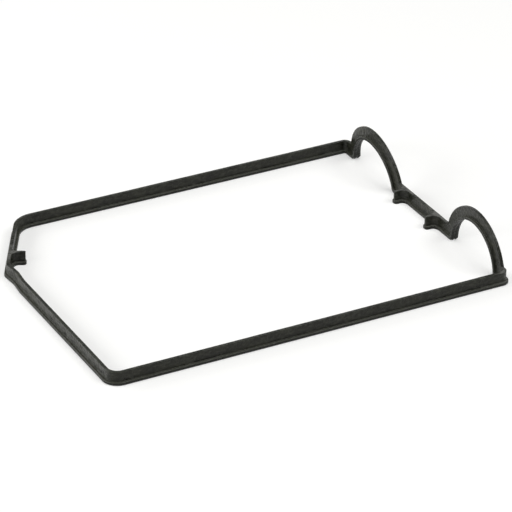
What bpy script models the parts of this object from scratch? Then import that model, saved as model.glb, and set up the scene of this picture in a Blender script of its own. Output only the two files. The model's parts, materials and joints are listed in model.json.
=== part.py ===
"""Valve cover gasket: one loop of moulded rubber with a half-round arch over each camshaft bore.

The section is an upside-down T. Its rib stands up into the groove of the cover, and its foot,
which carries two sealing ridges, lies on the cylinder head. The section runs round a rectangle
with one cut corner. At the right-hand end it climbs over two half-round bores, and three short
tabs reach into the loop to locate it in the cover.

Lengths are in metres and angles in radians, with +Z up. The origin is under the middle of the loop,
+X runs along the long sides towards the arches, and +Y runs across to the side with the cut corner.
"""

import math

import bmesh
import bpy
from mathutils import Vector

# Outline of the foot, seen from above
LENGTH = 0.306
WIDTH = 0.230
CUT_ALONG_LENGTH = 0.0344
CUT_ALONG_WIDTH = 0.062
NEAR_LEFT_RADIUS = 0.0110
NEAR_RIGHT_RADIUS = 0.0070
FAR_RIGHT_RADIUS = 0.0070
FAR_LEFT_RADIUS = 0.0215
CUT_END_RADIUS = 0.0080

# Shallow bend that the left side takes just below the cut corner
BEND_DEPTH = 0.0011
BEND_FROM_CUT = 0.0140
BEND_LENGTH = 0.0260
BEND_RADIUS = 0.0140

# Section: an upright rib on a wider foot, with two sealing ridges under the foot
SECTION_HEIGHT = 0.0095
RIB_WIDTH = 0.0024
RIB_EDGE_RADIUS = 0.00045
FOOT_OVERHANG = 0.00175
FOOT_THICKNESS = 0.0024
FOOT_TOP_RADIUS = 0.0008
FOOT_LOWER_RADIUS = 0.0004
ROOT_FILLET = 0.0003
RIDGE_HEIGHT = 0.0003
RIDGE_SPACING = 0.0026
RIDGE_CREST = 0.0005
RIDGE_FLANK = 0.0003

# Fuller stretch of the section, from a small step on each long side to the foot of the arch
FULL_LENGTH = 0.0250
FULL_STEP = 0.0003
FULL_ROOT_FILLET = 0.0007
FULL_RIB_EXTRA = 0.0001

# Half-round arches over the camshaft bores
BORE_RADIUS = 0.0274
NEAR_BORE_EDGE_RADIUS = 0.0020
FAR_BORE_EDGE_RADIUS = 0.0035
RIB_ROOT_RADIUS = 0.0010
NEAR_END_FLAT = 0.0008
FAR_END_FLAT = 0.0029
NEAR_CROWN_LEAN = 0.0006
FAR_CROWN_LEAN = 0.0036

# Locating tabs
TAB_REACH = 0.0087
CUT_TAB_REACH = 0.0094
TAB_THICKNESS = 0.0022
TAB_FILLET = 0.0055
CUT_TAB_FAR_FILLET = 0.0030
TAB_CORNER_RADIUS = 0.0006
TAB_FOOT_CORNER_RADIUS = 0.0022
TAB_FOOT_TOP_RADIUS = 0.0007
TAB_TIP_OVERHANG = 0.0006
TAB_FOOT_RISE = 0.0001
TAB_ROOT_SINK = 0.00005
FAR_TAB_FROM_ARCH = 0.0072
NEAR_TAB_FROM_ARCH = 0.0159
CUT_TAB_FROM_END = 0.0194

# Facets
CORNER_STEP = math.radians(13.0)
ARCH_STEPS = 26
ROOT_STEPS = 4
FULL_FADE_STEPS = 8
FILLET_STEPS = 5
RIM_STEPS = 2
SHARP_ANGLE = math.radians(35.0)
FLAT_ANGLE = math.radians(1.0)
WELD_DISTANCE = 0.00001

FOOT_WIDTH = RIB_WIDTH + 2.0 * FOOT_OVERHANG
HALF_FOOT = FOOT_WIDTH / 2.0
HALF_RIB = RIB_WIDTH / 2.0
RUBBER_COLOUR = (0.031, 0.031, 0.028, 1.0)
RUBBER_ROUGHNESS = 0.48


def clear_scene():
    """Removes every object that the scene starts with."""
    for scene_object in list(bpy.data.objects):
        bpy.data.objects.remove(scene_object, do_unlink=True)


def new_collection(name):
    """Makes a collection of the scene."""
    collection = bpy.data.collections.new(name)
    bpy.context.scene.collection.children.link(collection)
    return collection


def rubber_material():
    """Black moulded rubber with a satin skin."""
    material = bpy.data.materials.new("black_rubber")
    material.use_nodes = True
    shader = material.node_tree.nodes["Principled BSDF"]
    shader.inputs["Base Color"].default_value = RUBBER_COLOUR
    shader.inputs["Roughness"].default_value = RUBBER_ROUGHNESS
    shader.inputs["Metallic"].default_value = 0.0
    material.diffuse_color = RUBBER_COLOUR
    return material


def rounded(corner, before, after, radius, steps=2):
    """Rounds one corner of an outline: points of the arc that touches both of its sides."""
    to_before = (before - corner).normalized()
    to_after = (after - corner).normalized()
    half_angle = to_before.angle(to_after) / 2.0
    centre = corner + (to_before + to_after).normalized() * radius / math.sin(half_angle)
    start = corner + to_before * radius / math.tan(half_angle)
    sweep = math.pi - 2.0 * half_angle
    turn = math.copysign(1.0, to_after.cross(to_before))
    arm = start - centre
    points = []
    for step in range(steps + 1):
        angle = turn * sweep * step / steps
        cos, sin = math.cos(angle), math.sin(angle)
        points.append(centre + Vector((cos * arm.x - sin * arm.y, sin * arm.x + cos * arm.y)))
    return points


def half_section(fullness):
    """Right-hand half of the section, from the middle of its underside up to the middle of its top.

    Each point is its distance out from the section's middle plane and its height. The rib and the
    fillet at its root grow as fullness goes from 0 to 1.
    """
    half_rib = HALF_RIB + FULL_RIB_EXTRA * fullness
    ledge = HALF_FOOT - FOOT_TOP_RADIUS - half_rib
    root_fillet = ROOT_FILLET + (min(FULL_ROOT_FILLET, ledge) - ROOT_FILLET) * fullness
    ridge_in = RIDGE_SPACING / 2.0 - RIDGE_CREST / 2.0
    ridge_out = RIDGE_SPACING / 2.0 + RIDGE_CREST / 2.0
    lower_corner = Vector((HALF_FOOT, RIDGE_HEIGHT))
    upper_corner = Vector((HALF_FOOT, FOOT_THICKNESS))
    root = Vector((half_rib, FOOT_THICKNESS))
    rib_corner = Vector((half_rib, SECTION_HEIGHT))
    points = [
        Vector((ridge_in - RIDGE_FLANK, RIDGE_HEIGHT)),
        Vector((ridge_in, 0.0)),
        Vector((ridge_out, 0.0)),
        Vector((ridge_out + RIDGE_FLANK, RIDGE_HEIGHT)),
    ]
    points += rounded(lower_corner, points[-1], upper_corner, FOOT_LOWER_RADIUS, 1)
    points += rounded(upper_corner, lower_corner, root, FOOT_TOP_RADIUS)
    points += rounded(root, upper_corner, rib_corner, root_fillet)
    points += rounded(rib_corner, root, Vector((0.0, SECTION_HEIGHT)), RIB_EDGE_RADIUS)
    return points


def whole_section(fullness=0.0):
    """The whole section as a closed ring of points, mirrored about its middle plane."""
    right = half_section(fullness)
    left = [Vector((-point.x, point.y)) for point in reversed(right)]
    return right + left


def outline_corners():
    """Corners of the foot's outer outline with their radii, anticlockwise from the far right."""
    right, left = LENGTH / 2.0, -LENGTH / 2.0
    far, near = WIDTH / 2.0, -WIDTH / 2.0
    cut_end = far - CUT_ALONG_WIDTH
    return [
        (Vector((right, far)), FAR_RIGHT_RADIUS),
        (Vector((left + CUT_ALONG_LENGTH, far)), FAR_LEFT_RADIUS),
        (Vector((left, cut_end)), CUT_END_RADIUS),
        (Vector((left + BEND_DEPTH, cut_end - BEND_FROM_CUT)), BEND_RADIUS),
        (Vector((left, cut_end - BEND_LENGTH)), BEND_RADIUS),
        (Vector((left, near)), NEAR_LEFT_RADIUS),
        (Vector((right, near)), NEAR_RIGHT_RADIUS),
    ]


def outward(direction):
    """Direction that points out of the loop from a side that runs anticlockwise."""
    return Vector((direction.y, -direction.x)).normalized()


def plan_ring(edge, normal, fullness):
    """Ring of the section where the foot's outer edge and its outward normal are given."""
    middle = edge - normal * HALF_FOOT
    return [
        Vector((middle.x + normal.x * point.x, middle.y + normal.y * point.x, point.y))
        for point in whole_section(fullness)
    ]


def step_rings(side_y, towards_arch):
    """Rings at the small step where the section of a long side changes between plain and full.

    Along the far side the loop runs away from the arch, and along the near side towards it.
    """
    full_x = LENGTH / 2.0 - FULL_LENGTH
    plain_x = full_x - FULL_STEP
    normal = Vector((0.0, math.copysign(1.0, side_y)))
    full = plan_ring(Vector((full_x, side_y)), normal, 1.0)
    plain = plan_ring(Vector((plain_x, side_y)), normal, 0.0)
    return [plain, full] if towards_arch else [full, plain]


def corner_rings(before, corner, after, radius, fullness):
    """Rings round one corner of the outline."""
    start_normal = outward(corner - before)
    turn = (corner - before).angle_signed(after - corner)
    half_angle = (math.pi - abs(turn)) / 2.0
    convex = turn < 0.0
    start = corner + (before - corner).normalized() * radius / math.tan(half_angle)
    centre = start - start_normal * radius if convex else start + start_normal * radius
    steps = max(2, math.ceil(abs(turn) / CORNER_STEP))
    rings = []
    for step in range(steps + 1):
        angle = -turn * step / steps
        cos, sin = math.cos(angle), math.sin(angle)
        normal = Vector((
            cos * start_normal.x - sin * start_normal.y,
            sin * start_normal.x + cos * start_normal.y,
        ))
        edge = centre + normal * radius if convex else centre - normal * radius
        rings.append(plan_ring(edge, normal, fullness))
    return rings


def plan_rings():
    """Rings of the section round the flat part of the loop, from the far right to the near right."""
    corners = outline_corners()
    last = len(corners) - 1
    rings = []
    for index, (corner, radius) in enumerate(corners):
        before = corners[index - 1][0]
        after = corners[(index + 1) % len(corners)][0]
        beside_arch = index in (0, last)
        if index == last:
            rings += step_rings(-WIDTH / 2.0, towards_arch=True)
        rings += corner_rings(before, corner, after, radius, 1.0 if beside_arch else 0.0)
        if index == 0:
            rings += step_rings(WIDTH / 2.0, towards_arch=False)
    return rings


def root_centre(height, bore_edge_radius):
    """Centre and radius of the arc that joins a flat run to an arch, for one height in the section.

    The radius shrinks from the bore's edge at the sealing face to the crease at the rib's top. The
    centre is measured from the bore's axis.
    """
    share = height / SECTION_HEIGHT
    radius = bore_edge_radius + (RIB_ROOT_RADIUS - bore_edge_radius) * share
    rise = height + radius
    reach = BORE_RADIUS + rise
    return Vector((math.sqrt(reach ** 2 - rise ** 2), rise)), radius


def arch_half_span(bore_edge_radius):
    """Distance from the bore's axis to where the rib's top leaves the flat run."""
    return root_centre(SECTION_HEIGHT, bore_edge_radius)[0].x


def arch_profile(height, bore_edge_radius):
    """Path over one bore of the section's points at one height, as (across, up) from its axis."""
    centre, root_radius = root_centre(height, bore_edge_radius)
    root_end = math.atan2(centre.y, centre.x)
    radius = BORE_RADIUS + height
    left = []
    for step in range(ROOT_STEPS + 1):
        angle = -math.pi / 2.0 - (math.pi / 2.0 - root_end) * step / ROOT_STEPS
        point = centre + root_radius * Vector((math.cos(angle), math.sin(angle)))
        left.append(Vector((-point.x, point.y)))
    over = []
    for step in range(1, ARCH_STEPS):
        angle = math.pi - root_end - (math.pi - 2.0 * root_end) * step / ARCH_STEPS
        over.append(radius * Vector((math.cos(angle), math.sin(angle))))
    right = [Vector((-point.x, point.y)) for point in reversed(left)]
    return left + over + right


def arch_rings(axis_y, bore_edge_radius, crown_lean, full_side):
    """Rings of the section over one bore, from its near side to its far side.

    The crown leans into the loop by crown_lean, and the roots stay upright. The section is full at
    the root beside the corner of the loop, which is on the near side where full_side is -1 and on
    the far side where it is 1, and turns plain on the way up.
    """
    middle_x = LENGTH / 2.0 - HALF_FOOT
    stations = 2 * ROOT_STEPS + ARCH_STEPS + 1
    rings = []
    for station in range(stations):
        from_corner = station if full_side < 0 else stations - 1 - station
        fullness = max(0.0, 1.0 - from_corner / FULL_FADE_STEPS)
        ring = []
        for point in whole_section(fullness):
            path = arch_profile(point.y, bore_edge_radius)
            across, up = path[station]
            root_top = path[ROOT_STEPS].y
            crown = BORE_RADIUS + point.y
            share = max(0.0, up - root_top) / (crown - root_top)
            ring.append(Vector((middle_x + point.x - crown_lean * share, axis_y + across, up)))
        rings.append(ring)
    return rings


def near_axis_y():
    """Where the bore's axis on the near side lies across the loop."""
    flat_end = -WIDTH / 2.0 + NEAR_RIGHT_RADIUS + NEAR_END_FLAT
    return flat_end + arch_half_span(NEAR_BORE_EDGE_RADIUS)


def far_axis_y():
    """Where the bore's axis on the far side lies across the loop."""
    flat_end = WIDTH / 2.0 - FAR_RIGHT_RADIUS - FAR_END_FLAT
    return flat_end - arch_half_span(FAR_BORE_EDGE_RADIUS)


def loft(name, rings, collection):
    """Closed solid through a closed chain of rings that all have the same number of points."""
    bm = bmesh.new()
    ring_verts = [[bm.verts.new(point) for point in ring] for ring in rings]
    for index, ring in enumerate(ring_verts):
        following = ring_verts[(index + 1) % len(ring_verts)]
        for side in range(len(ring)):
            other = (side + 1) % len(ring)
            bm.faces.new((ring[side], following[side], following[other], ring[other]))
    mesh = bpy.data.meshes.new(name)
    bm.to_mesh(mesh)
    bm.free()
    solid = bpy.data.objects.new(name, mesh)
    collection.objects.link(solid)
    return solid


def tab_outline(reach, far_fillet, side_margin, tip_margin, corner_radius):
    """Plan of a tab that grows out of the rib, or of its foot when the margins are the foot's overhangs.

    The first coordinate runs into the loop from the section's middle plane, the second along it.
    The fillets start a little inside the face that the tab grows from.
    """
    face = HALF_RIB + side_margin - TAB_ROOT_SINK
    half = TAB_THICKNESS / 2.0 + side_margin
    tip = HALF_RIB + reach + tip_margin
    near_radius = TAB_FILLET - side_margin
    far_radius = far_fillet - side_margin
    near_start, far_start = Vector((face, -half)), Vector((face, half))
    near_tip, far_tip = Vector((tip, -half)), Vector((tip, half))
    near_side = near_start - Vector((0.0, half + near_radius))
    far_side = far_start + Vector((0.0, half + far_radius))
    points = [Vector((0.0, -half - near_radius))]
    points += rounded(near_start, near_side, near_tip, near_radius, FILLET_STEPS)
    points += rounded(near_tip, near_start, far_tip, corner_radius)
    points += rounded(far_tip, near_tip, far_start, corner_radius)
    points += rounded(far_start, far_tip, far_side, far_radius, FILLET_STEPS)
    points.append(Vector((0.0, half + far_radius)))
    return points


def plate(name, outline, bottom, top, edge_radius, collection):
    """Flat plate with rounded upper edges, from a closed outline between two heights."""
    curve = bpy.data.curves.new(name, "CURVE")
    curve.dimensions = "2D"
    curve.fill_mode = "BOTH"
    curve.extrude = (top - bottom) / 2.0
    spline = curve.splines.new("POLY")
    spline.points.add(len(outline) - 1)
    for spline_point, point in zip(spline.points, outline):
        spline_point.co = (point.x, point.y, 0.0, 1.0)
    spline.use_cyclic_u = True
    drawn = bpy.data.objects.new(name, curve)
    collection.objects.link(drawn)
    bpy.context.view_layer.update()
    evaluated = drawn.evaluated_get(bpy.context.evaluated_depsgraph_get())
    mesh = bpy.data.meshes.new_from_object(evaluated)
    bpy.data.objects.remove(drawn, do_unlink=True)
    bm = bmesh.new()
    bm.from_mesh(mesh)
    bmesh.ops.remove_doubles(bm, verts=bm.verts, dist=WELD_DISTANCE)
    bmesh.ops.dissolve_limit(bm, angle_limit=FLAT_ANGLE, verts=bm.verts, edges=bm.edges)
    for vert in bm.verts:
        vert.co.z = top if vert.co.z > 0.0 else bottom
    middle = (top + bottom) / 2.0
    rim = [edge for edge in bm.edges if all(vert.co.z > middle for vert in edge.verts)]
    bmesh.ops.bevel(bm, geom=rim, offset=edge_radius, segments=RIM_STEPS, profile=0.5, affect="EDGES")
    bm.to_mesh(mesh)
    bm.free()
    mesh.name = name
    solid = bpy.data.objects.new(name, mesh)
    collection.objects.link(solid)
    return solid


def add_tab(name, place, inward, reach, far_fillet, collection):
    """Makes the rib and the foot of one tab, at a place on the section's middle plane."""
    rib_plan = tab_outline(reach, far_fillet, 0.0, 0.0, TAB_CORNER_RADIUS)
    foot_plan = tab_outline(reach, far_fillet, FOOT_OVERHANG, TAB_TIP_OVERHANG, TAB_FOOT_CORNER_RADIUS)
    buried = FOOT_THICKNESS / 2.0
    pieces = [
        plate(name + "_rib", rib_plan, buried, SECTION_HEIGHT, RIB_EDGE_RADIUS, collection),
        plate(name + "_foot", foot_plan, TAB_FOOT_RISE, FOOT_THICKNESS, TAB_FOOT_TOP_RADIUS, collection),
    ]
    for piece in pieces:
        piece.location = (place.x, place.y, 0.0)
        piece.rotation_euler = (0.0, 0.0, math.atan2(inward.y, inward.x))
        piece.hide_render = True
        piece.display_type = "WIRE"


def add_tabs(collection):
    """Makes the two tabs of the bar between the arches and the one on the cut corner."""
    bar_x = LENGTH / 2.0 - HALF_FOOT
    far_tab_y = far_axis_y() - arch_half_span(FAR_BORE_EDGE_RADIUS) - FAR_TAB_FROM_ARCH
    near_tab_y = near_axis_y() + arch_half_span(NEAR_BORE_EDGE_RADIUS) + NEAR_TAB_FROM_ARCH
    into_loop = Vector((-1.0, 0.0))
    add_tab("far_tab", Vector((bar_x, far_tab_y)), into_loop, TAB_REACH, TAB_FILLET, collection)
    add_tab("near_tab", Vector((bar_x, near_tab_y)), into_loop, TAB_REACH, TAB_FILLET, collection)

    corners = outline_corners()
    cut_start, cut_end = corners[1][0], corners[2][0]
    along_cut = (cut_start - cut_end).normalized()
    into_cut = outward(along_cut)
    place = cut_end + along_cut * CUT_TAB_FROM_END + into_cut * HALF_FOOT
    add_tab("cut_tab", place, into_cut, CUT_TAB_REACH, CUT_TAB_FAR_FILLET, collection)


def join_to(body, collection):
    """Unites the solids of a collection with the body, as moulding makes them one piece."""
    union = body.modifiers.new(collection.name, "BOOLEAN")
    union.operation = "UNION"
    union.solver = "EXACT"
    union.operand_type = "COLLECTION"
    union.collection = collection


def build():
    """Builds the gasket as one solid."""
    clear_scene()
    parts = new_collection("valve_cover_gasket")
    tabs = new_collection("tabs")
    rings = plan_rings()
    rings += arch_rings(near_axis_y(), NEAR_BORE_EDGE_RADIUS, NEAR_CROWN_LEAN, full_side=-1)
    rings += arch_rings(far_axis_y(), FAR_BORE_EDGE_RADIUS, FAR_CROWN_LEAN, full_side=1)
    gasket = loft("gasket", rings, parts)
    gasket.data.materials.append(rubber_material())
    add_tabs(tabs)
    join_to(gasket, tabs)
    gasket.data.shade_smooth()
    gasket.data.set_sharp_from_angle(angle=SHARP_ANGLE)


if __name__ == "__main__":
    build()
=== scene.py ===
"""Visual model of a valve cover gasket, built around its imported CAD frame.

The gasket is one moulding of black rubber. An upside-down T section is carried round a rectangle
with one cut corner and over two camshaft bores, and three locating tabs reach into the loop.
Lengths are in metres and angles in radians, with +Z up. +X runs along the long sides towards the
arches, and +Y runs across to the side with the cut corner.
"""

import json
import logging
import math
from dataclasses import dataclass, field
from enum import Enum

import bmesh
import bpy
from mathutils import Matrix, Vector, noise

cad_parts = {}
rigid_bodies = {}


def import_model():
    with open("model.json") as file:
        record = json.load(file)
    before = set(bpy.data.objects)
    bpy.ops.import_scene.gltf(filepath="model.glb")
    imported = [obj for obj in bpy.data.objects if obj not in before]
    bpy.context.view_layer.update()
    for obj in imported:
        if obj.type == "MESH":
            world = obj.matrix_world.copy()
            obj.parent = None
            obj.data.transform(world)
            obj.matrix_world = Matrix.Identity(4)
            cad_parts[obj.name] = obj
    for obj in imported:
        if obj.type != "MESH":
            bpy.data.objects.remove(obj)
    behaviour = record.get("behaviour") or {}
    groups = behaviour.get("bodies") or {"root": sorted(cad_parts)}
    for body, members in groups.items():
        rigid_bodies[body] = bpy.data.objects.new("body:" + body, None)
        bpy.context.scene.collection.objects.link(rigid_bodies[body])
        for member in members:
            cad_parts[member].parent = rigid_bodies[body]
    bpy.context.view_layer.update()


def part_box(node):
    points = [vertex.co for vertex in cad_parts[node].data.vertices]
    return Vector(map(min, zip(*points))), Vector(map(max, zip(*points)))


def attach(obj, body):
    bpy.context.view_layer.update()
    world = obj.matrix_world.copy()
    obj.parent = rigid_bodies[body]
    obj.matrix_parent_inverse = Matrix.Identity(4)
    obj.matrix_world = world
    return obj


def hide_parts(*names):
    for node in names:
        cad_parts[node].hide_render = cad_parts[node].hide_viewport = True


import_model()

LOG = logging.getLogger("valve_cover_gasket")
MM = 0.001
HEIGHT_ATTRIBUTE = "section_height"
SRGB_KNEE = 0.04045
SRGB_SLOPE = 12.92
SRGB_OFFSET = 0.055
SRGB_POWER = 2.4
# Sockets of a Mix node that mixes colours.
COLOUR_A = 6
COLOUR_B = 7
MIXED = 2


class LoopSide(Enum):
    """The two long sides of the loop, by the sign of their place across it."""

    NEAR = -1
    FAR = 1


class LightPath(Enum):
    """Rays that meet the set as the camera would see it."""

    CAMERA = "Is Camera Ray"
    GLOSSY = "Is Glossy Ray"
    TRANSMISSION = "Is Transmission Ray"


def linear(hex_colour: str) -> tuple[float, float, float, float]:
    """Turns an sRGB hex colour into linear RGBA.

    Args:
        hex_colour: Colour as "#rrggbb".

    Returns:
        Linear red, green, blue and an alpha of one.
    """
    channels = []
    for byte in bytes.fromhex(hex_colour.lstrip("#")):
        value = byte / 255.0
        curved = ((value + SRGB_OFFSET) / (1.0 + SRGB_OFFSET)) ** SRGB_POWER
        channels.append(value / SRGB_SLOPE if value <= SRGB_KNEE else curved)
    return channels[0], channels[1], channels[2], 1.0


def add_node(tree: bpy.types.NodeTree, kind: str, settings: dict, links: dict) -> bpy.types.Node:
    """Adds a node to a tree, with its settings and the links into it.

    Args:
        tree: Node tree that takes the node.
        kind: Blender's type name of the node.
        settings: Values by name; a name of one of the node's inputs sets that input.
        links: Output sockets by the name or number of the input that each feeds.

    Returns:
        The new node.
    """
    node = tree.nodes.new(kind)
    for name, value in settings.items():
        if isinstance(name, int) or name in node.inputs:
            node.inputs[name].default_value = value
        else:
            setattr(node, name, value)
    for name, socket in links.items():
        tree.links.new(socket, node.inputs[name])
    return node


def between(limits: tuple[float, float]) -> dict[str, float]:
    """Names the ends of a range as a Map Range node does."""
    return {"From Min": limits[0], "From Max": limits[1]}


def rounded(corner: Vector, before: Vector, after: Vector, radius: float, steps: int) -> list[Vector]:
    """Rounds one corner of an outline.

    Args:
        corner: Sharp corner of the outline.
        before: Point on the side that comes in.
        after: Point on the side that goes out.
        radius: Radius of the arc.
        steps: Number of chords along the arc.

    Returns:
        Points of the arc that touches both sides.
    """
    to_before = (before - corner).normalized()
    to_after = (after - corner).normalized()
    half_angle = to_before.angle(to_after) / 2.0
    centre = corner + (to_before + to_after).normalized() * radius / math.sin(half_angle)
    arm = corner + to_before * radius / math.tan(half_angle) - centre
    sweep = math.copysign(math.pi - 2.0 * half_angle, to_after.cross(to_before))
    points = []
    for step in range(steps + 1):
        points.append(centre + turned(arm, sweep * step / steps))
    return points


def turned(arm: Vector, angle: float) -> Vector:
    """Turns a plane vector.

    Args:
        arm: Vector to turn.
        angle: Angle, anticlockwise.

    Returns:
        The turned vector.
    """
    cos, sin = math.cos(angle), math.sin(angle)
    return Vector((cos * arm.x - sin * arm.y, sin * arm.x + cos * arm.y))


def outward(direction: Vector) -> Vector:
    """Gives the way out of a loop that runs anticlockwise.

    Args:
        direction: Direction of one side.

    Returns:
        Unit vector out of the loop.
    """
    return Vector((direction.y, -direction.x)).normalized()


def eased(share: float) -> float:
    """Eases a share between 0 and 1 at both of its ends.

    Args:
        share: Share, which is limited to the range from 0 to 1.

    Returns:
        The eased share.
    """
    share = min(1.0, max(0.0, share))
    return share * share * (3.0 - 2.0 * share)


@dataclass(frozen=True)
class TeeSection:
    """Upside-down T section: an upright rib on a wider foot with two sealing ridges."""

    height: float = 9.5 * MM
    rib_width: float = 2.4 * MM
    rib_edge_radius: float = 0.3 * MM
    foot_overhang: float = 1.75 * MM
    foot_thickness: float = 2.4 * MM
    foot_top_radius: float = 0.7 * MM
    foot_lower_radius: float = 0.25 * MM
    root_fillet: float = 0.3 * MM
    full_root_fillet: float = 0.7 * MM
    full_rib_extra: float = 0.1 * MM
    ridge_height: float = 0.3 * MM
    ridge_spacing: float = 2.6 * MM
    ridge_width: float = 1.1 * MM
    ridge_crest: float = 1.0 / 3.0
    ridge_steps: int = 8
    edge_steps: int = 5
    foot_top_steps: int = 7
    fillet_steps: int = 5
    rib_spans: int = 4

    @property
    def half_foot(self) -> float:
        """Half of the foot's width."""
        return self.rib_width / 2.0 + self.foot_overhang

    def ridge(self) -> list[Vector]:
        """Draws one sealing ridge as a rounded swell of the underside.

        Returns:
            Points from the ridge's inner flank to its outer flank.
        """
        points = []
        for step in range(self.ridge_steps + 1):
            share = 2.0 * step / self.ridge_steps - 1.0
            swell = 1.0 - eased((abs(share) - self.ridge_crest) / (1.0 - self.ridge_crest))
            across = self.ridge_spacing / 2.0 + share * self.ridge_width / 2.0
            points.append(Vector((across, self.ridge_height * (1.0 - swell))))
        return points

    def half(self, fullness: float) -> list[Vector]:
        """Draws the outer half of the section, from its underside to the middle of its top.

        Args:
            fullness: 0 for the plain section, 1 for the fuller one beside the arches.

        Returns:
            Points as distance out from the middle plane and height.
        """
        half_rib = self.rib_width / 2.0 + self.full_rib_extra * fullness
        fillet = self.root_fillet + (self.full_root_fillet - self.root_fillet) * fullness
        lower_corner = Vector((self.half_foot, self.ridge_height))
        upper_corner = Vector((self.half_foot, self.foot_thickness))
        root = Vector((half_rib, self.foot_thickness))
        rib_corner = Vector((half_rib, self.height))
        points = [Vector((0.0, self.ridge_height))] + self.ridge()
        points += rounded(lower_corner, points[-1], upper_corner, self.foot_lower_radius, self.edge_steps)
        points += rounded(upper_corner, lower_corner, root, self.foot_top_radius, self.foot_top_steps)
        points += rounded(root, upper_corner, rib_corner, fillet, self.fillet_steps)
        low = points[-1]
        crown = rounded(rib_corner, root, Vector((0.0, self.height)), self.rib_edge_radius, self.edge_steps)
        for span in range(1, self.rib_spans):
            points.append(low.lerp(crown[0], span / self.rib_spans))
        return points + crown + [Vector((0.0, self.height))]

    def ring(self, fullness: float) -> list[Vector]:
        """Draws the whole section, mirrored about its middle plane.

        Args:
            fullness: 0 for the plain section, 1 for the fuller one beside the arches.

        Returns:
            Closed ring of points as distance out from the middle plane and height.
        """
        outer = self.half(fullness)
        inner = [Vector((-point.x, point.y)) for point in reversed(outer[1:-1])]
        return outer + inner


@dataclass(frozen=True)
class Station:
    """Place on the plan where the section is set up."""

    edge: Vector
    normal: Vector
    fullness: float

    def ring(self, section: TeeSection) -> list[Vector]:
        """Sets the section up here.

        Args:
            section: Section of the gasket.

        Returns:
            Ring of points in space.
        """
        middle = self.edge - self.normal * section.half_foot
        return [
            Vector((middle.x + self.normal.x * point.x, middle.y + self.normal.y * point.x, point.y))
            for point in section.ring(self.fullness)
        ]

    def towards(self, other: "Station", share: float) -> "Station":
        """Gives a station on the straight run to another one.

        Args:
            other: Station at the run's end.
            share: Part of the way to it.

        Returns:
            The station between.
        """
        fullness = self.fullness + (other.fullness - self.fullness) * share
        return Station(self.edge.lerp(other.edge, share), self.normal, fullness)


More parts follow.
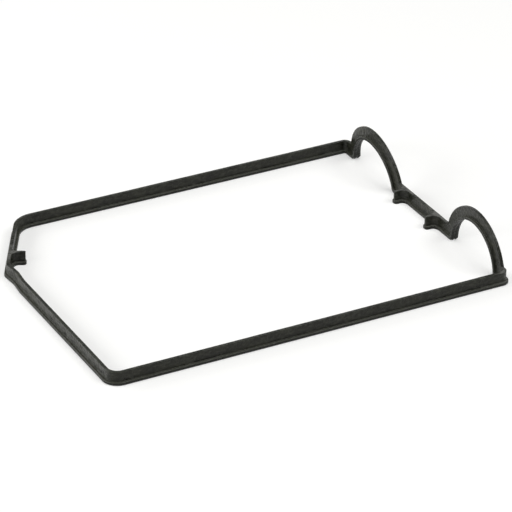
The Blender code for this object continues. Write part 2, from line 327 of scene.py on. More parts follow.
@dataclass(frozen=True)
class PlanOutline:
    """Outer edge of the foot, seen from above, anticlockwise from the far right."""

    length: float
    width: float
    cut_along_length: float = 34.4 * MM
    cut_along_width: float = 62.0 * MM
    near_left_radius: float = 11.0 * MM
    near_right_radius: float = 7.0 * MM
    far_right_radius: float = 7.0 * MM
    far_left_radius: float = 21.5 * MM
    cut_end_radius: float = 8.0 * MM
    bend_depth: float = 1.1 * MM
    bend_from_cut: float = 14.0 * MM
    bend_length: float = 26.0 * MM
    bend_radius: float = 14.0 * MM
    full_length: float = 25.0 * MM
    full_step: float = 0.15 * MM
    witness_fullness: float = 2.0
    witness_step: float = 0.3 * MM
    corner_step: float = math.radians(4.0)
    fewest_steps: int = 2
    longest_span: float = 3.5 * MM
    same_normal: float = 1e-4

    def corners(self) -> list[tuple[Vector, float]]:
        """Lists the outline's corners.

        Returns:
            Each sharp corner with the radius that rounds it.
        """
        right, left = self.length / 2.0, -self.length / 2.0
        far, near = self.width / 2.0, -self.width / 2.0
        cut_end = far - self.cut_along_width
        return [
            (Vector((right, far)), self.far_right_radius),
            (Vector((left + self.cut_along_length, far)), self.far_left_radius),
            (Vector((left, cut_end)), self.cut_end_radius),
            (Vector((left + self.bend_depth, cut_end - self.bend_from_cut)), self.bend_radius),
            (Vector((left, cut_end - self.bend_length)), self.bend_radius),
            (Vector((left, near)), self.near_left_radius),
            (Vector((right, near)), self.near_right_radius),
        ]

    def round_corner(self, index: int) -> list[Station]:
        """Sets stations round one corner.

        Args:
            index: Number of the corner.

        Returns:
            Stations from the corner's start to its end.
        """
        corners = self.corners()
        corner, radius = corners[index]
        before = corners[index - 1][0]
        after = corners[(index + 1) % len(corners)][0]
        fullness = 1.0 if index in (0, len(corners) - 1) else 0.0
        start_normal = outward(corner - before)
        turn = (corner - before).angle_signed(after - corner)
        side = math.copysign(1.0, -turn)
        reach = radius / math.tan((math.pi - abs(turn)) / 2.0)
        start = corner + (before - corner).normalized() * reach
        centre = start - start_normal * radius * side
        steps = max(self.fewest_steps, math.ceil(abs(turn) / self.corner_step))
        stations = []
        for step in range(steps + 1):
            normal = turned(start_normal, -turn * step / steps)
            stations.append(Station(centre + normal * radius * side, normal, fullness))
        return stations

    def step_to_full(self, side: LoopSide) -> list[Station]:
        """Sets stations at the small step where a long side turns fuller, with its witness line.

        Args:
            side: Long side of the loop.

        Returns:
            The stations of the step, in the order in which the loop runs.
        """
        edge_y = side.value * self.width / 2.0
        normal = Vector((0.0, float(side.value)))
        full_x = self.length / 2.0 - self.full_length
        plain = Station(Vector((full_x - self.full_step, edge_y)), normal, 0.0)
        witness = Station(Vector((full_x, edge_y)), normal, self.witness_fullness)
        full = Station(Vector((full_x + self.witness_step, edge_y)), normal, 1.0)
        return [plain, witness, full] if side is LoopSide.NEAR else [full, witness, plain]

    def filled(self, stations: list[Station]) -> list[Station]:
        """Adds stations along the straight runs, so that no span is long.

        Args:
            stations: Stations in order.

        Returns:
            The same stations with others between them.
        """
        result = [stations[0]]
        for before, after in zip(stations, stations[1:]):
            gap = (after.edge - before.edge).length
            spans = max(1, math.ceil(gap / self.longest_span))
            if (after.normal - before.normal).length > self.same_normal:
                spans = 1
            result += [before.towards(after, span / spans) for span in range(1, spans)] + [after]
        return result

    def round_the_loop(self) -> list[Station]:
        """Sets stations round the flat part of the loop, from the far right to the near right.

        Returns:
            Stations in order.
        """
        last = len(self.corners()) - 1
        stations = self.round_corner(0) + self.step_to_full(LoopSide.FAR)
        for index in range(1, last):
            stations += self.round_corner(index)
        stations += self.step_to_full(LoopSide.NEAR) + self.round_corner(last)
        return self.filled(stations)

    def along_bar(self, start_y: float, end_y: float) -> list[Station]:
        """Sets stations along the straight bar at the right-hand end.

        Args:
            start_y: Where the bar starts across the loop.
            end_y: Where the bar ends across the loop.

        Returns:
            Stations between the two places, without the places themselves.
        """
        normal = Vector((1.0, 0.0))
        ends = [Station(Vector((self.length / 2.0, y)), normal, 0.0) for y in (start_y, end_y)]
        return self.filled(ends)[1:-1]


@dataclass(frozen=True)
class BoreArch:
    """Half-round arch that carries the section over one camshaft bore."""

    side: LoopSide
    edge_radius: float
    end_flat: float
    crown_lean: float
    bore_radius: float = 27.4 * MM
    rib_root_radius: float = 1.0 * MM
    root_steps: int = 8
    arch_steps: int = 84
    full_share: float = 0.154

    def root_centre(self, height: float, section: TeeSection) -> tuple[Vector, float]:
        """Finds the arc that joins a flat run to the arch, for one height in the section.

        Args:
            height: Height in the section.
            section: Section of the gasket.

        Returns:
            The arc's centre from the bore's axis, and its radius.
        """
        share = height / section.height
        radius = self.edge_radius + (self.rib_root_radius - self.edge_radius) * share
        rise = height + radius
        reach = self.bore_radius + rise
        return Vector((math.sqrt(reach ** 2 - rise ** 2), rise)), radius

    def half_span(self, section: TeeSection) -> float:
        """Distance from the bore's axis to where the rib's top leaves the flat run."""
        return self.root_centre(section.height, section)[0].x

    def axis_y(self, plan: PlanOutline, section: TeeSection) -> float:
        """Finds where the bore's axis lies across the loop.

        Args:
            plan: Outline of the loop.
            section: Section of the gasket.

        Returns:
            Place of the axis across the loop.
        """
        corner = plan.near_right_radius if self.side is LoopSide.NEAR else plan.far_right_radius
        flat_end = plan.width / 2.0 - corner - self.end_flat
        return self.side.value * (flat_end - self.half_span(section))

    def path_point(self, station: int, height: float, section: TeeSection) -> Vector:
        """Follows one height of the section over the bore.

        Args:
            station: Number of the station, from the near side to the far side.
            height: Height in the section.
            section: Section of the gasket.

        Returns:
            Place across and up from the bore's axis.
        """
        centre, root_radius = self.root_centre(height, section)
        root_end = math.atan2(centre.y, centre.x)
        last = 2 * self.root_steps + self.arch_steps
        from_root = min(station, last - station)
        if from_root <= self.root_steps:
            angle = -math.pi / 2.0 - (math.pi / 2.0 - root_end) * from_root / self.root_steps
            point = centre + root_radius * Vector((math.cos(angle), math.sin(angle)))
        else:
            along = (from_root - self.root_steps) / self.arch_steps
            angle = root_end + (math.pi - 2.0 * root_end) * along
            point = (self.bore_radius + height) * Vector((math.cos(angle), math.sin(angle)))
        return Vector((-point.x, point.y)) if station < last - station else point

    def fullness(self, station: int) -> float:
        """Gives the section's fullness, which fades out from the root beside the loop's corner.

        Args:
            station: Number of the station, from the near side to the far side.

        Returns:
            1 at that root, and 0 from a little way up the arch.
        """
        last = 2 * self.root_steps + self.arch_steps
        from_corner = station if self.side is LoopSide.NEAR else last - station
        fade = self.root_steps + self.full_share * self.arch_steps
        return 1.0 - eased(from_corner / fade)

    def rings(self, plan: PlanOutline, section: TeeSection) -> list[list[Vector]]:
        """Carries the section over the bore, from its near side to its far side.

        Args:
            plan: Outline of the loop.
            section: Section of the gasket.

        Returns:
            Rings of points in space.
        """
        middle_x = plan.length / 2.0 - section.half_foot
        axis_y = self.axis_y(plan, section)
        rings = []
        for station in range(2 * self.root_steps + self.arch_steps + 1):
            ring = []
            for point in section.ring(self.fullness(station)):
                place = self.path_point(station, point.y, section)
                root_top = self.path_point(self.root_steps, point.y, section).y
                crown = self.bore_radius + point.y
                share = max(0.0, place.y - root_top) / (crown - root_top)
                x = middle_x + point.x - self.crown_lean * share
                ring.append(Vector((x, axis_y + place.x, place.y)))
            rings.append(ring)
        return rings


@dataclass(frozen=True)
class LocatingTab:
    """Short tab that grows out of the rib and reaches into the loop."""

    name: str
    place: Vector
    inward: Vector
    reach: float = 8.7 * MM
    far_fillet: float = 5.5 * MM
    near_fillet: float = 5.5 * MM
    thickness: float = 2.2 * MM
    corner_radius: float = 0.6 * MM
    foot_corner_radius: float = 2.2 * MM
    foot_rim_radius: float = 0.7 * MM
    tip_overhang: float = 0.6 * MM
    foot_rise: float = 0.1 * MM
    root_sink: float = 0.05 * MM
    fillet_steps: int = 11
    corner_steps: int = 5
    rim_steps: int = 4
    rim_profile: float = 0.5

    def plan(self, section: TeeSection, side_margin: float, tip_margin: float,
             corner: float) -> list[Vector]:
        """Draws the tab's plan, or that of its foot when the margins are the foot's overhangs.

        Args:
            section: Section of the gasket.
            side_margin: How far the plan stands out from the tab's sides.
            tip_margin: How far the plan stands out from the tab's tip.
            corner: Radius of the corners at the tip.

        Returns:
            Points as distance into the loop from the section's middle plane and along it.
        """
        half_rib = section.rib_width / 2.0
        face = half_rib + side_margin - self.root_sink
        half = self.thickness / 2.0 + side_margin
        tip = half_rib + self.reach + tip_margin
        near_radius = self.near_fillet - side_margin
        far_radius = self.far_fillet - side_margin
        near_root, far_root = Vector((face, -half)), Vector((face, half))
        near_tip, far_tip = Vector((tip, -half)), Vector((tip, half))
        near_side = near_root - Vector((0.0, near_radius + half))
        far_side = far_root + Vector((0.0, far_radius + half))
        points = [Vector((0.0, -half - near_radius))]
        points += rounded(near_root, near_side, near_tip, near_radius, self.fillet_steps)
        points += rounded(near_tip, near_root, far_tip, corner, self.corner_steps)
        points += rounded(far_tip, near_tip, far_root, corner, self.corner_steps)
        points += rounded(far_root, far_tip, far_side, far_radius, self.fillet_steps)
        points.append(Vector((0.0, half + far_radius)))
        return points

    def plate(self, outline: list[Vector], bottom: float, top: float, rim_radius: float) -> bpy.types.Mesh:
        """Makes a flat plate with a rounded upper rim.

        Args:
            outline: Plan of the plate.
            bottom: Height of its underside.
            top: Height of its upper face.
            rim_radius: Radius of the upper rim.

        Returns:
            The plate's mesh.
        """
        bm = bmesh.new()
        lower = [bm.verts.new((point.x, point.y, bottom)) for point in outline]
        upper = [bm.verts.new((point.x, point.y, top)) for point in outline]
        bm.faces.new(list(reversed(lower)))
        bm.faces.new(upper)
        for side in range(len(outline)):
            other = (side + 1) % len(outline)
            bm.faces.new((lower[side], lower[other], upper[other], upper[side]))
        bm.normal_update()
        rim = [edge for edge in bm.edges if all(vert.co.z > (bottom + top) / 2.0 for vert in edge.verts)]
        bmesh.ops.bevel(bm, geom=rim, offset=rim_radius, segments=self.rim_steps,
                        profile=self.rim_profile, affect="EDGES")
        mesh = bpy.data.meshes.new(self.name)
        bm.to_mesh(mesh)
        bm.free()
        return mesh

    def solids(self, section: TeeSection, collection: bpy.types.Collection) -> None:
        """Makes the tab's rib and foot as solids that are ready to unite with the loop.

        Args:
            section: Section of the gasket.
            collection: Collection that takes them.
        """
        rib_plan = self.plan(section, 0.0, 0.0, self.corner_radius)
        foot_plan = self.plan(section, section.foot_overhang, self.tip_overhang, self.foot_corner_radius)
        buried = section.foot_thickness / 2.0
        plates = [
            self.plate(rib_plan, buried, section.height, section.rib_edge_radius),
            self.plate(foot_plan, self.foot_rise, section.foot_thickness, self.foot_rim_radius),
        ]
        turn = Matrix.Rotation(math.atan2(self.inward.y, self.inward.x), 4, "Z")
        where = Matrix.Translation((self.place.x, self.place.y, 0.0)) @ turn
        for mesh in plates:
            mesh.transform(where)
            collection.objects.link(bpy.data.objects.new(self.name, mesh))


@dataclass(frozen=True)
class RelaxedSway:
    """Slight sway of the free rib, as moulded rubber relaxes after it leaves its mould."""

    reach: float = 0.12 * MM
    wavelength: float = 34.0 * MM
    other_slice: float = 7.5

    def offset(self, point: Vector, height: float, section: TeeSection) -> Vector:
        """Says how far a point of the rib sways, which grows from nothing at the foot.

        Args:
            point: Point of the gasket.
            height: Its height in the section.
            section: Section of the gasket.

        Returns:
            Movement in plan.
        """
        share = (height - section.foot_thickness) / (section.height - section.foot_thickness)
        share = min(1.0, max(0.0, share)) ** 2
        place = Vector((point.x, point.y, 0.0)) / self.wavelength
        along_x = noise.noise(place)
        along_y = noise.noise(place + Vector((0.0, 0.0, self.other_slice)))
        return Vector((along_x, along_y, 0.0)) * self.reach * share


@dataclass
class GasketMoulding:
    """The whole gasket: the loop with its arches and tabs as one moulding."""

    plan: PlanOutline
    section: TeeSection = field(default_factory=TeeSection)
    sway: RelaxedSway = field(default_factory=RelaxedSway)
    name: str = "gasket_moulding"
    far_tab_from_arch: float = 7.2 * MM
    near_tab_from_arch: float = 15.9 * MM
    cut_tab_from_end: float = 19.4 * MM
    cut_tab_reach: float = 9.4 * MM
    cut_tab_far_fillet: float = 3.0 * MM
    arch_zone: float = 11.8 * MM
    weld: float = 0.002 * MM
    sharp_angle: float = math.radians(40.0)

    def __post_init__(self) -> None:
        """Sets the two arches over the bores."""
        self.near_arch = BoreArch(
            LoopSide.NEAR, edge_radius=2.0 * MM, end_flat=0.8 * MM, crown_lean=0.6 * MM)
        self.far_arch = BoreArch(
            LoopSide.FAR, edge_radius=3.5 * MM, end_flat=2.9 * MM, crown_lean=3.6 * MM)

    def arches(self) -> list[BoreArch]:
        """The arches, from the near side to the far side."""
        return [self.near_arch, self.far_arch]

    def bar_ends(self) -> tuple[float, float]:
        """Finds where the straight bar between the arches starts and ends.

        Returns:
            Places of its near end and of its far end across the loop.
        """
        start = self.near_arch.axis_y(self.plan, self.section) + self.near_arch.half_span(self.section)
        end = self.far_arch.axis_y(self.plan, self.section) - self.far_arch.half_span(self.section)
        return start, end

    def tabs(self) -> list[LocatingTab]:
        """Places the three tabs on the middle plane of the section.

        Returns:
            The two tabs of the bar and the one on the cut corner.
        """
        bar_x = self.plan.length / 2.0 - self.section.half_foot
        bar_start, bar_end = self.bar_ends()
        corners = self.plan.corners()
        along_cut = (corners[1][0] - corners[2][0]).normalized()
        into_cut = outward(along_cut)
        cut_place = corners[2][0] + along_cut * self.cut_tab_from_end + into_cut * self.section.half_foot
        into_loop = Vector((-1.0, 0.0))
        return [
            LocatingTab("far_tab", Vector((bar_x, bar_end - self.far_tab_from_arch)), into_loop),
            LocatingTab("near_tab", Vector((bar_x, bar_start + self.near_tab_from_arch)), into_loop),
            LocatingTab("cut_tab", cut_place, into_cut, self.cut_tab_reach, self.cut_tab_far_fillet),
        ]

    def highlighted_places(self) -> list[Vector]:
        """Lists where a pale highlight is painted on level faces: round the tabs and at the near arch's
        outer root.

        Returns:
            Middles of those places, at the height of the rib's top.
        """
        arch = self.near_arch
        corner_root = arch.axis_y(self.plan, self.section) - arch.half_span(self.section)
        bar_x = self.plan.length / 2.0 - self.section.half_foot
        places = [tab.place for tab in self.tabs()] + [Vector((bar_x, corner_root))]
        return [Vector((place.x, place.y, self.section.height)) for place in places]

    def rings(self) -> list[list[Vector]]:
        """Carries the section all the way round.

        Returns:
            Rings of points in space, as a closed chain.
        """
        rings = [station.ring(self.section) for station in self.plan.round_the_loop()]
        rings += self.near_arch.rings(self.plan, self.section)
        rings += [station.ring(self.section) for station in self.plan.along_bar(*self.bar_ends())]
        rings += self.far_arch.rings(self.plan, self.section)
        return rings

    def loft(self) -> bpy.types.Object:
        """Skins the chain of rings.

        Returns:
            The loop without its tabs.
        """
        bm = bmesh.new()
        rings = [[bm.verts.new(point) for point in ring] for ring in self.rings()]
        for index, ring in enumerate(rings):
            following = rings[(index + 1) % len(rings)]
            for side in range(len(ring)):
                other = (side + 1) % len(ring)
                bm.faces.new((ring[side], following[side], following[other], ring[other]))
        bmesh.ops.remove_doubles(bm, verts=bm.verts, dist=self.weld)
        mesh = bpy.data.meshes.new(self.name)
        bm.to_mesh(mesh)
        bm.free()
        loop = bpy.data.objects.new(self.name, mesh)
        bpy.context.scene.collection.objects.link(loop)
        return loop

    def unite(self, loop: bpy.types.Object) -> None:
        """Unites the tabs with the loop, as moulding makes them one piece.

        Args:
            loop: The loop, whose mesh becomes the united one.
        """
        operands = bpy.data.collections.new("tab_solids")
        bpy.context.scene.collection.children.link(operands)
        for tab in self.tabs():
            tab.solids(self.section, operands)
        union = loop.modifiers.new("tabs", "BOOLEAN")
        union.operation = "UNION"
        union.solver = "EXACT"
        union.operand_type = "COLLECTION"
        union.collection = operands
        bpy.context.view_layer.update()
        evaluated = loop.evaluated_get(bpy.context.evaluated_depsgraph_get())
        united = bpy.data.meshes.new_from_object(evaluated)
        loop.modifiers.clear()
        loop.data = united
        for solid in list(operands.objects):
            bpy.data.objects.remove(solid, do_unlink=True)
        bpy.data.collections.remove(operands)

    def section_height(self, point: Vector) -> float:
        """Finds a point's height in the section, also on the arches.

        Args:
            point: Point of the gasket.

        Returns:
            Height above the sealing face.
        """
        if point.x < self.plan.length / 2.0 - self.arch_zone:
            return point.z
        for arch in self.arches():
            across = point.y - arch.axis_y(self.plan, self.section)
            if abs(across) < arch.half_span(self.section):
                return min(point.z, math.hypot(across, point.z) - arch.bore_radius)
        return point.z

    def relax(self, gasket: bpy.types.Object) -> None:
        """Lets the free rib sway a little, and notes each point's height in the section for the finish.

        Args:
            gasket: The united gasket.
        """
        heights = [self.section_height(vert.co) for vert in gasket.data.vertices]
        record = gasket.data.attributes.new(HEIGHT_ATTRIBUTE, "FLOAT", "POINT")
        record.data.foreach_set("value", heights)
        for vert, height in zip(gasket.data.vertices, heights):
            vert.co += self.sway.offset(vert.co, height, self.section)

    def build(self) -> bpy.types.Object:
        """Makes the gasket.

        Returns:
            The gasket as one object with smooth shading.
        """
        gasket = self.loft()
        self.unite(gasket)
        self.relax(gasket)
        gasket.data.shade_smooth()
        gasket.data.set_sharp_from_angle(angle=self.sharp_angle)
        normals = gasket.modifiers.new("flat_faces_lead", "WEIGHTED_NORMAL")
        normals.keep_sharp = True
        return gasket


@dataclass(frozen=True)
class SkinPattern:
    """Irregular pattern in the skin of a moulding, whose features have a real size."""

    along: float
    up: float
    layers: float
    layer_strength: float = 0.55

    def lay(self, tree: bpy.types.NodeTree) -> bpy.types.NodeSocket:
        """Lays the pattern over the surface.

        Args:
            tree: Node tree of the material.

        Returns:
            Socket whose value swings round one half.
        """
        place = add_node(tree, "ShaderNodeTexCoord", {}, {})
        scale = (1.0 / self.along, 1.0 / self.along, 1.0 / self.up)
        scaled = add_node(tree, "ShaderNodeVectorMath", {"operation": "MULTIPLY", 1: scale},
                          {0: place.outputs["Object"]})
        pattern = add_node(tree, "ShaderNodeTexNoise",
                           {"Scale": 1.0, "Detail": self.layers, "Roughness": self.layer_strength},
                           {"Vector": scaled.outputs[0]})
        return pattern.outputs["Fac"]


@dataclass(frozen=True)
class MouldedNitrileRubber:
    """Black nitrile rubber, compression moulded in a spark-eroded steel mould.

    To the eye it is a near-black with a slightly olive cast and a satin skin: broad soft sheens on
    the faces that look towards a light, and no sharp reflection. A thin greyish bloom lies in
    patches. The foot's top is painted paler as a highlight and its side darker as painted shade,
    the level faces near the tabs and the near arch's outer root carry a pale painted highlight, and
    the outer wall of the left-hand end is painted paler.
    """

    name: str = "moulded_nitrile_rubber"
    body: str = "#161710"
    bloom: str = "#2a2b22"
    scuff: str = "#44453c"
    # Painted highlight: colour of the foot's top, paler than its side.
    ledge_highlight: str = "#3a3b33"
    # Pale tint: a painted highlight on the level faces near the tabs and the near arch's outer root, and
    # the paler outer wall of the left-hand end.
    highlight_and_wall_tint: str = "#5a5a56"
    ior: float = 1.5
    metallic: float = 0.0
    specular_level: float = 0.26
    roughness: float = 0.33
    roughness_swing: float = 0.07
    dull_range: tuple[float, float] = (0.3, 0.7)
    patches: SkinPattern = SkinPattern(along=14.0 * MM, up=7.0 * MM, layers=4.0)
    bloom_range: tuple[float, float] = (0.42, 0.68)
    scuffs: SkinPattern = SkinPattern(along=4.0 * MM, up=2.0 * MM, layers=3.0)
    scuff_range: tuple[float, float] = (0.46, 0.66)
    scuff_share: float = 0.42
    scuff_depth: float = 0.2 * MM
    ripples: SkinPattern = SkinPattern(along=7.0 * MM, up=3.5 * MM, layers=1.0)
    ripple_depth: float = 0.35 * MM
    # The mould's grain is near 0.1 mm, too fine to show, so it is drawn coarser and deeper.
    grains: SkinPattern = SkinPattern(along=2.2 * MM, up=2.2 * MM, layers=2.0)
    grain_depth: float = 0.7 * MM
    # Heights where the foot's side, painted darker as shade, gives way to its top, painted paler as a
    # highlight, and where that gives way to the rib.
    foot_shade_top: tuple[float, float] = (1.8 * MM, 2.2 * MM)
    ledge_top: tuple[float, float] = (2.45 * MM, 2.6 * MM)
    # Reach, facing and gaps of the pale painted highlight near the tabs.
    highlight_reach: tuple[float, float] = (15.0 * MM, 7.5 * MM)
    highlight_level: tuple[float, float] = (0.75, 0.95)
    tint_gaps: tuple[float, float] = (0.35, 0.6)
    # Reach and facing of the paler outer wall of the left-hand end.
    end_reach: tuple[float, float] = (5.0 * MM, 4.0 * MM)
    end_facing: tuple[float, float] = (-0.8, -0.95)
    end_wall_paleness: float = 0.5

    def above(self, tree: bpy.types.NodeTree, heights: tuple[float, float]) -> bpy.types.NodeSocket:
        """Finds what lies above a height in the section.

        Args:
            tree: Node tree of the material.
            heights: Where the change starts and where it ends.

        Returns:
            Socket that is 0 below them and 1 above them.
        """
        height = add_node(tree, "ShaderNodeAttribute", {"attribute_name": HEIGHT_ATTRIBUTE}, {})
        change = add_node(tree, "ShaderNodeMapRange", between(heights), {"Value": height.outputs["Fac"]})
        return change.outputs["Result"]

    # Painted highlight: pale tint on upward-facing faces near the tabs and the near arch's outer root.
    def painted_highlight_near(self, tree: bpy.types.NodeTree, places: list[Vector]) -> bpy.types.NodeSocket:
        """Finds the level faces near some places, which carry a pale painted highlight.

        Args:
            tree: Node tree of the material.
            places: Middles of the stretches with the painted highlight.

        Returns:
            Socket that is 1 where the painted highlight is full and 0 where there is none.
        """
        here = add_node(tree, "ShaderNodeTexCoord", {}, {})
        closeness = None
        for place in places:
            away = add_node(tree, "ShaderNodeVectorMath", {"operation": "DISTANCE", 1: place},
                            {0: here.outputs["Object"]})
            close = add_node(tree, "ShaderNodeMapRange", between(self.highlight_reach),
                             {"Value": away.outputs["Value"]}).outputs["Result"]
            if closeness is not None:
                close = add_node(tree, "ShaderNodeMath", {"operation": "MAXIMUM"},
                                 {0: closeness, 1: close}).outputs[0]
            closeness = close
        face = add_node(tree, "ShaderNodeNewGeometry", {}, {})
        facing = add_node(tree, "ShaderNodeSeparateXYZ", {}, {0: face.outputs["Normal"]})
        level = add_node(tree, "ShaderNodeMapRange", between(self.highlight_level),
                         {"Value": facing.outputs["Z"]})
        both = add_node(tree, "ShaderNodeMath", {"operation": "MULTIPLY"},
                        {0: closeness, 1: level.outputs["Result"]})
        return both.outputs[0]

    # Lightens the colour on the outer wall of the left-hand end, where it faces -X above the ledge.
    def paler_end_wall(self, tree: bpy.types.NodeTree, end_x: float) -> bpy.types.NodeSocket:
        """Finds the outer wall of the left-hand end, which is painted paler.

        Args:
            tree: Node tree of the material.
            end_x: Where the left-hand end lies along the loop.

        Returns:
            Socket that is how much paler that wall is painted, and 0 elsewhere.
        """
        here = add_node(tree, "ShaderNodeTexCoord", {}, {})
        place = add_node(tree, "ShaderNodeSeparateXYZ", {}, {0: here.outputs["Object"]})
        reach = (end_x + self.end_reach[0], end_x + self.end_reach[1])
        at_end = add_node(tree, "ShaderNodeMapRange", between(reach), {"Value": place.outputs["X"]})
        face = add_node(tree, "ShaderNodeNewGeometry", {}, {})
        facing = add_node(tree, "ShaderNodeSeparateXYZ", {}, {0: face.outputs["Normal"]})
        outer = add_node(tree, "ShaderNodeMapRange", {**between(self.end_facing), "To Max": self.end_wall_paleness},
                         {"Value": facing.outputs["X"]})
        both = add_node(tree, "ShaderNodeMath", {"operation": "MULTIPLY"},
                        {0: at_end.outputs["Result"], 1: outer.outputs["Result"]})
        on_wall = add_node(tree, "ShaderNodeMath", {"operation": "MULTIPLY"},
                           {0: both.outputs[0], 1: self.above(tree, self.ledge_top)})
        return on_wall.outputs[0]

    def skin(self, tree: bpy.types.NodeTree, patches: bpy.types.NodeSocket,
             scuffs: bpy.types.NodeSocket) -> bpy.types.NodeSocket:
        """Colours the skin: bloom and scuffs on the rib, a painted highlight on the foot's top, and painted
        shade on the foot's side, which keeps the plain dark body colour.

        Args:
            tree: Node tree of the material.
            patches: Pattern of the bloom.
            scuffs: Pattern of the scuffs.

        Returns:
            Colour of the skin.
        """
        blooming = add_node(tree, "ShaderNodeMapRange", between(self.bloom_range), {"Value": patches})
        bloomed = add_node(tree, "ShaderNodeMix",
                           {"data_type": "RGBA", COLOUR_A: linear(self.body), COLOUR_B: linear(self.bloom)},
                           {0: blooming.outputs["Result"]})
        rubbed = add_node(tree, "ShaderNodeMapRange",
                          {**between(self.scuff_range), "To Max": self.scuff_share}, {"Value": scuffs})
        rib = add_node(tree, "ShaderNodeMix", {"data_type": "RGBA", COLOUR_B: linear(self.scuff)},
                       {0: rubbed.outputs["Result"], COLOUR_A: bloomed.outputs[MIXED]})
        # Painted highlight: the foot's top, between the two heights, takes the paler ledge colour.
        upper = add_node(tree, "ShaderNodeMix", {"data_type": "RGBA", COLOUR_A: linear(self.ledge_highlight)},
                         {0: self.above(tree, self.ledge_top), COLOUR_B: rib.outputs[MIXED]})
        # Painted shade: below the foot's top the side keeps the plain dark body colour, without bloom or
        # scuffs.
        whole = add_node(tree, "ShaderNodeMix", {"data_type": "RGBA", COLOUR_A: linear(self.body)},
                         {0: self.above(tree, self.foot_shade_top), COLOUR_B: upper.outputs[MIXED]})
        return whole.outputs[MIXED]

    def relief(self, tree: bpy.types.NodeTree, scuffs: bpy.types.NodeSocket) -> bpy.types.NodeSocket:
        """Raises the skin's relief: broad ripples, scuffs on them, and the mould's grain on both.

        Args:
            tree: Node tree of the material.
            scuffs: Pattern of the scuffs.

        Returns:
            Normal of the finished skin.
        """
        below = {}
        for pattern, depth in (
            (self.ripples.lay(tree), self.ripple_depth),
            (scuffs, self.scuff_depth),
            (self.grains.lay(tree), self.grain_depth),
        ):
            bump = add_node(tree, "ShaderNodeBump", {"Distance": depth}, {"Height": pattern, **below})
            below = {"Normal": bump.outputs["Normal"]}
        return below["Normal"]

    def dress(self, piece: bpy.types.Object, highlighted: list[Vector], end_x: float) -> None:
        """Gives a piece this finish.

        Args:
            piece: Piece to dress.
            highlighted: Middles of the stretches with a pale painted highlight.
            end_x: Where the left-hand end lies along the loop.
        """
        material = bpy.data.materials.new(self.name)
        material.use_nodes = True
        tree = material.node_tree
        shader = tree.nodes["Principled BSDF"]
        shader.inputs["IOR"].default_value = self.ior
        shader.inputs["Specular IOR Level"].default_value = self.specular_level
        shader.inputs["Metallic"].default_value = self.metallic

        patches, scuffs = self.patches.lay(tree), self.scuffs.lay(tree)
        # Pale tint: a painted highlight on level faces near the tabs, and the outer wall of the left-hand
        # end painted paler.
        highlight_and_wall_tint = add_node(tree, "ShaderNodeMath", {"operation": "MAXIMUM"},
                        {0: self.painted_highlight_near(tree, highlighted), 1: self.paler_end_wall(tree, end_x)})
        uneven = add_node(tree, "ShaderNodeMapRange", between(self.tint_gaps), {"Value": scuffs})
        tint_share = add_node(tree, "ShaderNodeMath", {"operation": "MULTIPLY"},
                           {0: highlight_and_wall_tint.outputs[0], 1: uneven.outputs["Result"]})
        colour = add_node(tree, "ShaderNodeMix", {"data_type": "RGBA", COLOUR_B: linear(self.highlight_and_wall_tint)},
                          {0: tint_share.outputs[0], COLOUR_A: self.skin(tree, patches, scuffs)})
        tree.links.new(colour.outputs[MIXED], shader.inputs["Base Color"])

        low, high = self.roughness - self.roughness_swing, self.roughness + self.roughness_swing
        dull = add_node(tree, "ShaderNodeMapRange",
                        {**between(self.dull_range), "To Min": low, "To Max": high}, {"Value": patches})
        tree.links.new(dull.outputs["Result"], shader.inputs["Roughness"])
        tree.links.new(self.relief(tree, scuffs), shader.inputs["Normal"])
        piece.data.materials.clear()
        piece.data.materials.append(material)


@dataclass(frozen=True)
class PaintedFloor:
    """Studio floor rolled with matt white emulsion.

    To the eye it has no gloss and shows only the gasket's soft shadow, and it runs on into a white
    background.
    """

    name: str = "matt_white_floor"
    paint: str = "matt_white_emulsion"
    colour: str = "#d4d4d2"
    half_size: float = 3.0
    drop: float = 0.02 * MM
    lift: float = 0.36

    def build(self) -> bpy.types.Object:
        """Makes the floor under the gasket.

        Returns:
            The floor.
        """
        bm = bmesh.new()
        bmesh.ops.create_grid(bm, x_segments=1, y_segments=1, size=self.half_size)
        mesh = bpy.data.meshes.new(self.name)
        bm.to_mesh(mesh)
        bm.free()
        floor = bpy.data.objects.new(self.name, mesh)
        floor.location.z = -self.drop
        bpy.context.scene.collection.objects.link(floor)
        mesh.materials.append(self.material())
        return floor

    def material(self) -> bpy.types.Material:
        """Makes matt paint that turns white for the rays that see the background.

        Returns:
            The floor's material.
        """
        material = bpy.data.materials.new(self.paint)
        material.use_nodes = True
        tree = material.node_tree
        tree.nodes.clear()
        paint = add_node(tree, "ShaderNodeBsdfDiffuse", {"Color": linear(self.colour)}, {})
        seen = seen_as_background(tree)
        strength = add_node(tree, "ShaderNodeMath", {"operation": "MULTIPLY", 1: self.lift}, {0: seen})
        glow = add_node(tree, "ShaderNodeEmission", {}, {"Strength": strength.outputs[0]})
        both = add_node(tree, "ShaderNodeAddShader", {}, {0: paint.outputs[0], 1: glow.outputs[0]})
        add_node(tree, "ShaderNodeOutputMaterial", {}, {"Surface": both.outputs[0]})
        return material


def seen_as_background(tree: bpy.types.NodeTree) -> bpy.types.NodeSocket:
    """Finds the rays that meet the set as the camera would see it.

    Args:
        tree: Node tree of a material or of the world.

    Returns:
        Socket that is 1 for those rays and 0 for all others.
    """
    path = add_node(tree, "ShaderNodeLightPath", {}, {})
    socket = path.outputs[LightPath.CAMERA.value]
    for kind in (LightPath.GLOSSY, LightPath.TRANSMISSION):
        either = add_node(tree, "ShaderNodeMath", {"operation": "MAXIMUM"},
                          {0: socket, 1: path.outputs[kind.value]})
        socket = either.outputs[0]
    return socket


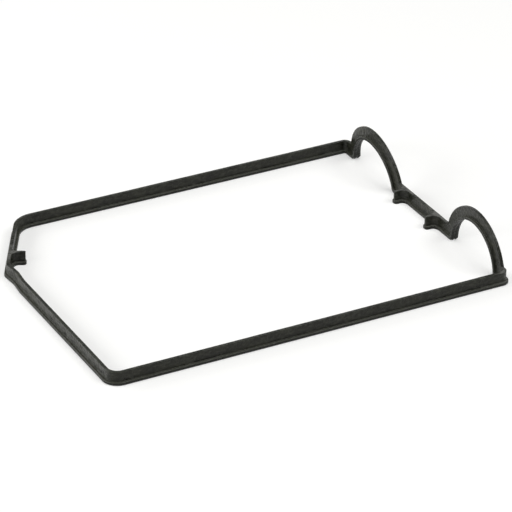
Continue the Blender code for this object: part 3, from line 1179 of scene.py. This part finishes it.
@dataclass(frozen=True)
class Softbox:
    """Soft rectangular lamp that looks at the middle of the gasket."""

    name: str
    azimuth: float
    elevation: float
    radiance: float
    distance: float = 2.2
    width: float = 1.4
    height: float = 1.0

    def build(self) -> None:
        """Makes the lamp, whose power gives its face the radiance that is asked for."""
        lamp = bpy.data.lights.new(self.name, "AREA")
        lamp.shape = "RECTANGLE"
        lamp.size = self.width
        lamp.size_y = self.height
        lamp.energy = self.radiance * math.pi * self.width * self.height
        azimuth, elevation = math.radians(self.azimuth), math.radians(self.elevation)
        level = math.cos(elevation)
        place = Vector((level * math.cos(azimuth), level * math.sin(azimuth), math.sin(elevation)))
        holder = bpy.data.objects.new(self.name, lamp)
        holder.location = place * self.distance
        holder.rotation_euler = (-place).to_track_quat("-Z", "Y").to_euler()
        bpy.context.scene.collection.objects.link(holder)


@dataclass(frozen=True)
class Studio:
    """Plain soft studio light from all round, strongest from behind and above, in a pale surround."""

    fill: float = 0.1
    pale: float = 0.4
    softboxes: tuple[Softbox, ...] = (
        Softbox("back_left_softbox", 135.0, 22.0, 4.4),
        Softbox("left_softbox", 180.0, 22.0, 5.0),
        Softbox("back_right_softbox", 45.0, 22.0, 0.6),
        Softbox("back_softbox", 90.0, 22.0, 0.2),
        Softbox("front_right_softbox", 315.0, 52.0, 4.8),
        Softbox("overhead_softbox", 61.9, 89.0, 3.9),
    )

    def build(self) -> None:
        """Sets the surround and the lamps."""
        world = bpy.data.worlds.new("pale_surround")
        world.use_nodes = True
        tree = world.node_tree
        tree.nodes.clear()
        seen = seen_as_background(tree)
        strength = add_node(tree, "ShaderNodeMapRange", {"To Min": self.fill, "To Max": self.pale},
                            {"Value": seen})
        surround = add_node(tree, "ShaderNodeBackground", {}, {"Strength": strength.outputs["Result"]})
        add_node(tree, "ShaderNodeOutputWorld", {}, {"Surface": surround.outputs[0]})
        bpy.context.scene.world = world
        for softbox in self.softboxes:
            softbox.build()


@dataclass(frozen=True)
class PhotoCamera:
    """Camera at the photograph's viewing angle, with a long lens."""

    target: tuple[float, float, float] = (0.01492373, -0.00005266, 0.00016)
    distance: float = 2.25345
    heading: float = math.radians(61.92)
    pitch: float = math.radians(28.84)
    roll: float = math.radians(0.48)
    lens: float = 227.6666
    sensor: float = 36.0
    clip: tuple[float, float] = (0.01, 50.0)

    def build(self) -> None:
        """Makes the camera and gives it to the scene."""
        forward = Vector((
            math.cos(self.heading) * math.cos(self.pitch),
            math.sin(self.heading) * math.cos(self.pitch),
            -math.sin(self.pitch),
        ))
        level = Vector((math.sin(self.heading), -math.cos(self.heading), 0.0))
        upright = level.cross(forward)
        right = math.cos(self.roll) * level + math.sin(self.roll) * upright
        up = math.cos(self.roll) * upright - math.sin(self.roll) * level
        eye = Vector(self.target) - forward * self.distance
        data = bpy.data.cameras.new("photo_camera")
        data.lens = self.lens
        data.sensor_width = self.sensor
        data.clip_start, data.clip_end = self.clip
        camera = bpy.data.objects.new("photo_camera", data)
        camera.matrix_world = Matrix.Translation(eye) @ Matrix((right, up, -forward)).transposed().to_4x4()
        bpy.context.scene.collection.objects.link(camera)
        bpy.context.scene.camera = camera


def main() -> None:
    """Builds the gasket, dresses it and sets the studio round it."""
    logging.basicConfig(level=logging.INFO, format="%(name)s: %(message)s")
    bpy.context.scene.view_settings.view_transform = "Standard"
    PhotoCamera().build()

    low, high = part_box("gasket")
    plan = PlanOutline(length=high.x - low.x, width=high.y - low.y)
    moulding = GasketMoulding(plan)
    gasket = moulding.build()
    MouldedNitrileRubber().dress(gasket, moulding.highlighted_places(), low.x)
    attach(gasket, "root")
    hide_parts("gasket")
    LOG.info("%s: %d faces", gasket.name, len(gasket.data.polygons))

    floor = PaintedFloor().build()
    LOG.info("%s: built", floor.name)
    Studio().build()
    LOG.info("studio: lit")


if __name__ == "__main__":
    main()
